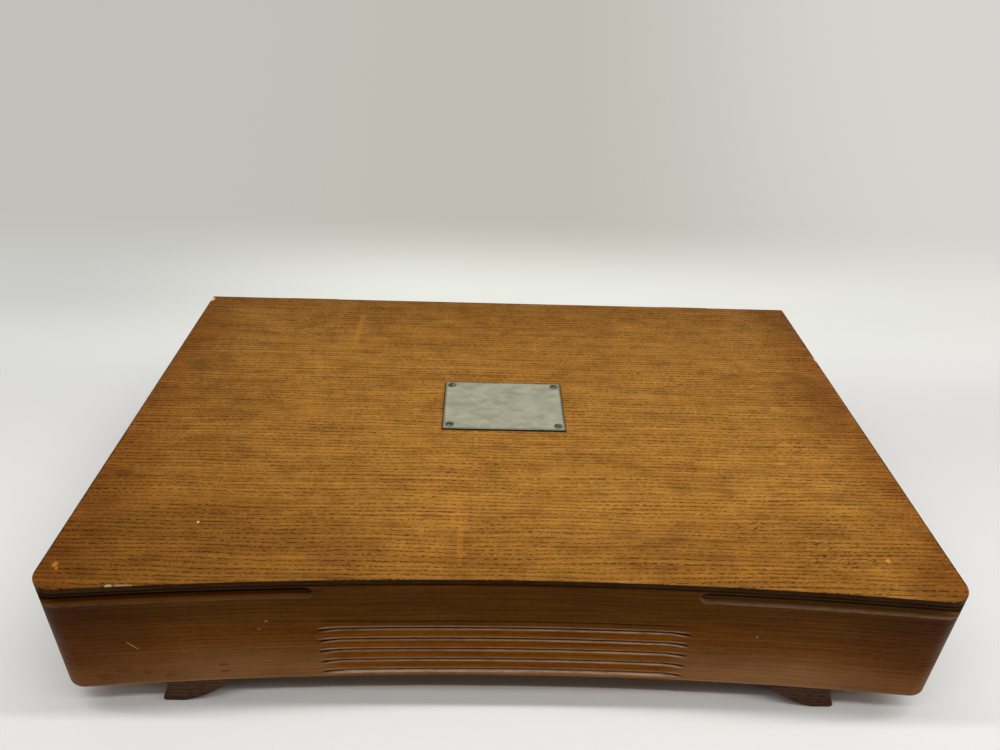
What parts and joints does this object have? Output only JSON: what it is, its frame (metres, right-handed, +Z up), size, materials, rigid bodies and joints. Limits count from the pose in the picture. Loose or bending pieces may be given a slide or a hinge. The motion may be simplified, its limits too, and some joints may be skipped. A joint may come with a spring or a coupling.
{
  "type": "silverware chest",
  "caption": "Flat oak cutlery box with a hollow reeded front, finger grooves, a back-hinged lid on a slotted stay, lined racks and small swept feet.",
  "frame": {"origin": "on the floor under the middle of the whole object, hinge knuckles included", "axes": "+X along the front to the right, +Y from the front to the hinged back, +Z up"},
  "size_m": [0.46, 0.3136, 0.0926],
  "materials": {
    "lid_oak": "golden oak veneer, worn satin varnish",
    "case_oak": "stained oak, worn satin varnish",
    "foot_wood": "dark stained hardwood, dull",
    "plywood": "bare thin plywood",
    "plaque_metal": "tarnished plate",
    "dark_screw": "tarnished",
    "steel": "plain",
    "brass": "aged brass",
    "case_baize": "napped cloth",
    "rack_baize": "napped cloth",
    "lid_velvet": "padded napped cloth"
  },
  "bodies": {
    "case": {"back_lining": "case_baize", "back_wall": "case_oak", "base_lining": "case_baize", "base_panel": "plywood", "base_pins": "steel", "bay_wall_left": "rack_baize", "bay_wall_right": "rack_baize", "foot_front_left": "foot_wood", "foot_front_right": "foot_wood", "foot_rear_left": "foot_wood", "foot_rear_right": "foot_wood", "foot_screws": "steel", "front_lining": "case_baize", "front_wall": "case_oak", "hinge_case_screws": "brass", "hinge_left_case_leaf": "brass", "hinge_left_pin": "brass", "hinge_right_case_leaf": "brass", "hinge_right_pin": "brass", "left_lining": "case_baize", "left_wall": "case_oak", "rail_front_left": "rack_baize", "rail_front_right": "rack_baize", "rail_rear_left": "rack_baize", "rail_rear_right": "rack_baize", "right_lining": "case_baize", "right_wall": "case_oak", "stay_plate": "brass", "stay_screws": "brass"},
    "lid": {"lid_panel": "lid_oak", "lid_lining": "lid_velvet", "plaque": "plaque_metal", "plaque_screws": "dark_screw", "hinge_left_lid_leaf": "brass", "hinge_right_lid_leaf": "brass", "hinge_lid_screws": "brass", "handle_bar_left": "rack_baize", "handle_bar_right": "rack_baize", "blade_ledge_left": "rack_baize", "blade_ledge_right": "rack_baize", "stay_bracket": "brass", "bracket_screws": "brass", "stay_rivet": "brass"},
    "stay": {"stay_arm": "brass"}
  },
  "joints": [
    {"name": "lid_hinge", "type": "hinge", "parent": "case", "child": "lid", "pos_m": [0, 0.15454, 0.087], "axis": [-1, 0, 0], "range_deg": [0, 95]},
    {"name": "stay_pivot", "type": "hinge", "parent": "lid", "child": "stay", "pos_m": [0.207, 0.12275, 0.0833], "axis": [-1, 0, 0], "range_deg": [-47.5, 0]}
  ],
  "couplings": [
    {"joint": "stay_pivot", "follows": "lid_hinge", "ratio": -0.5}
  ]
}
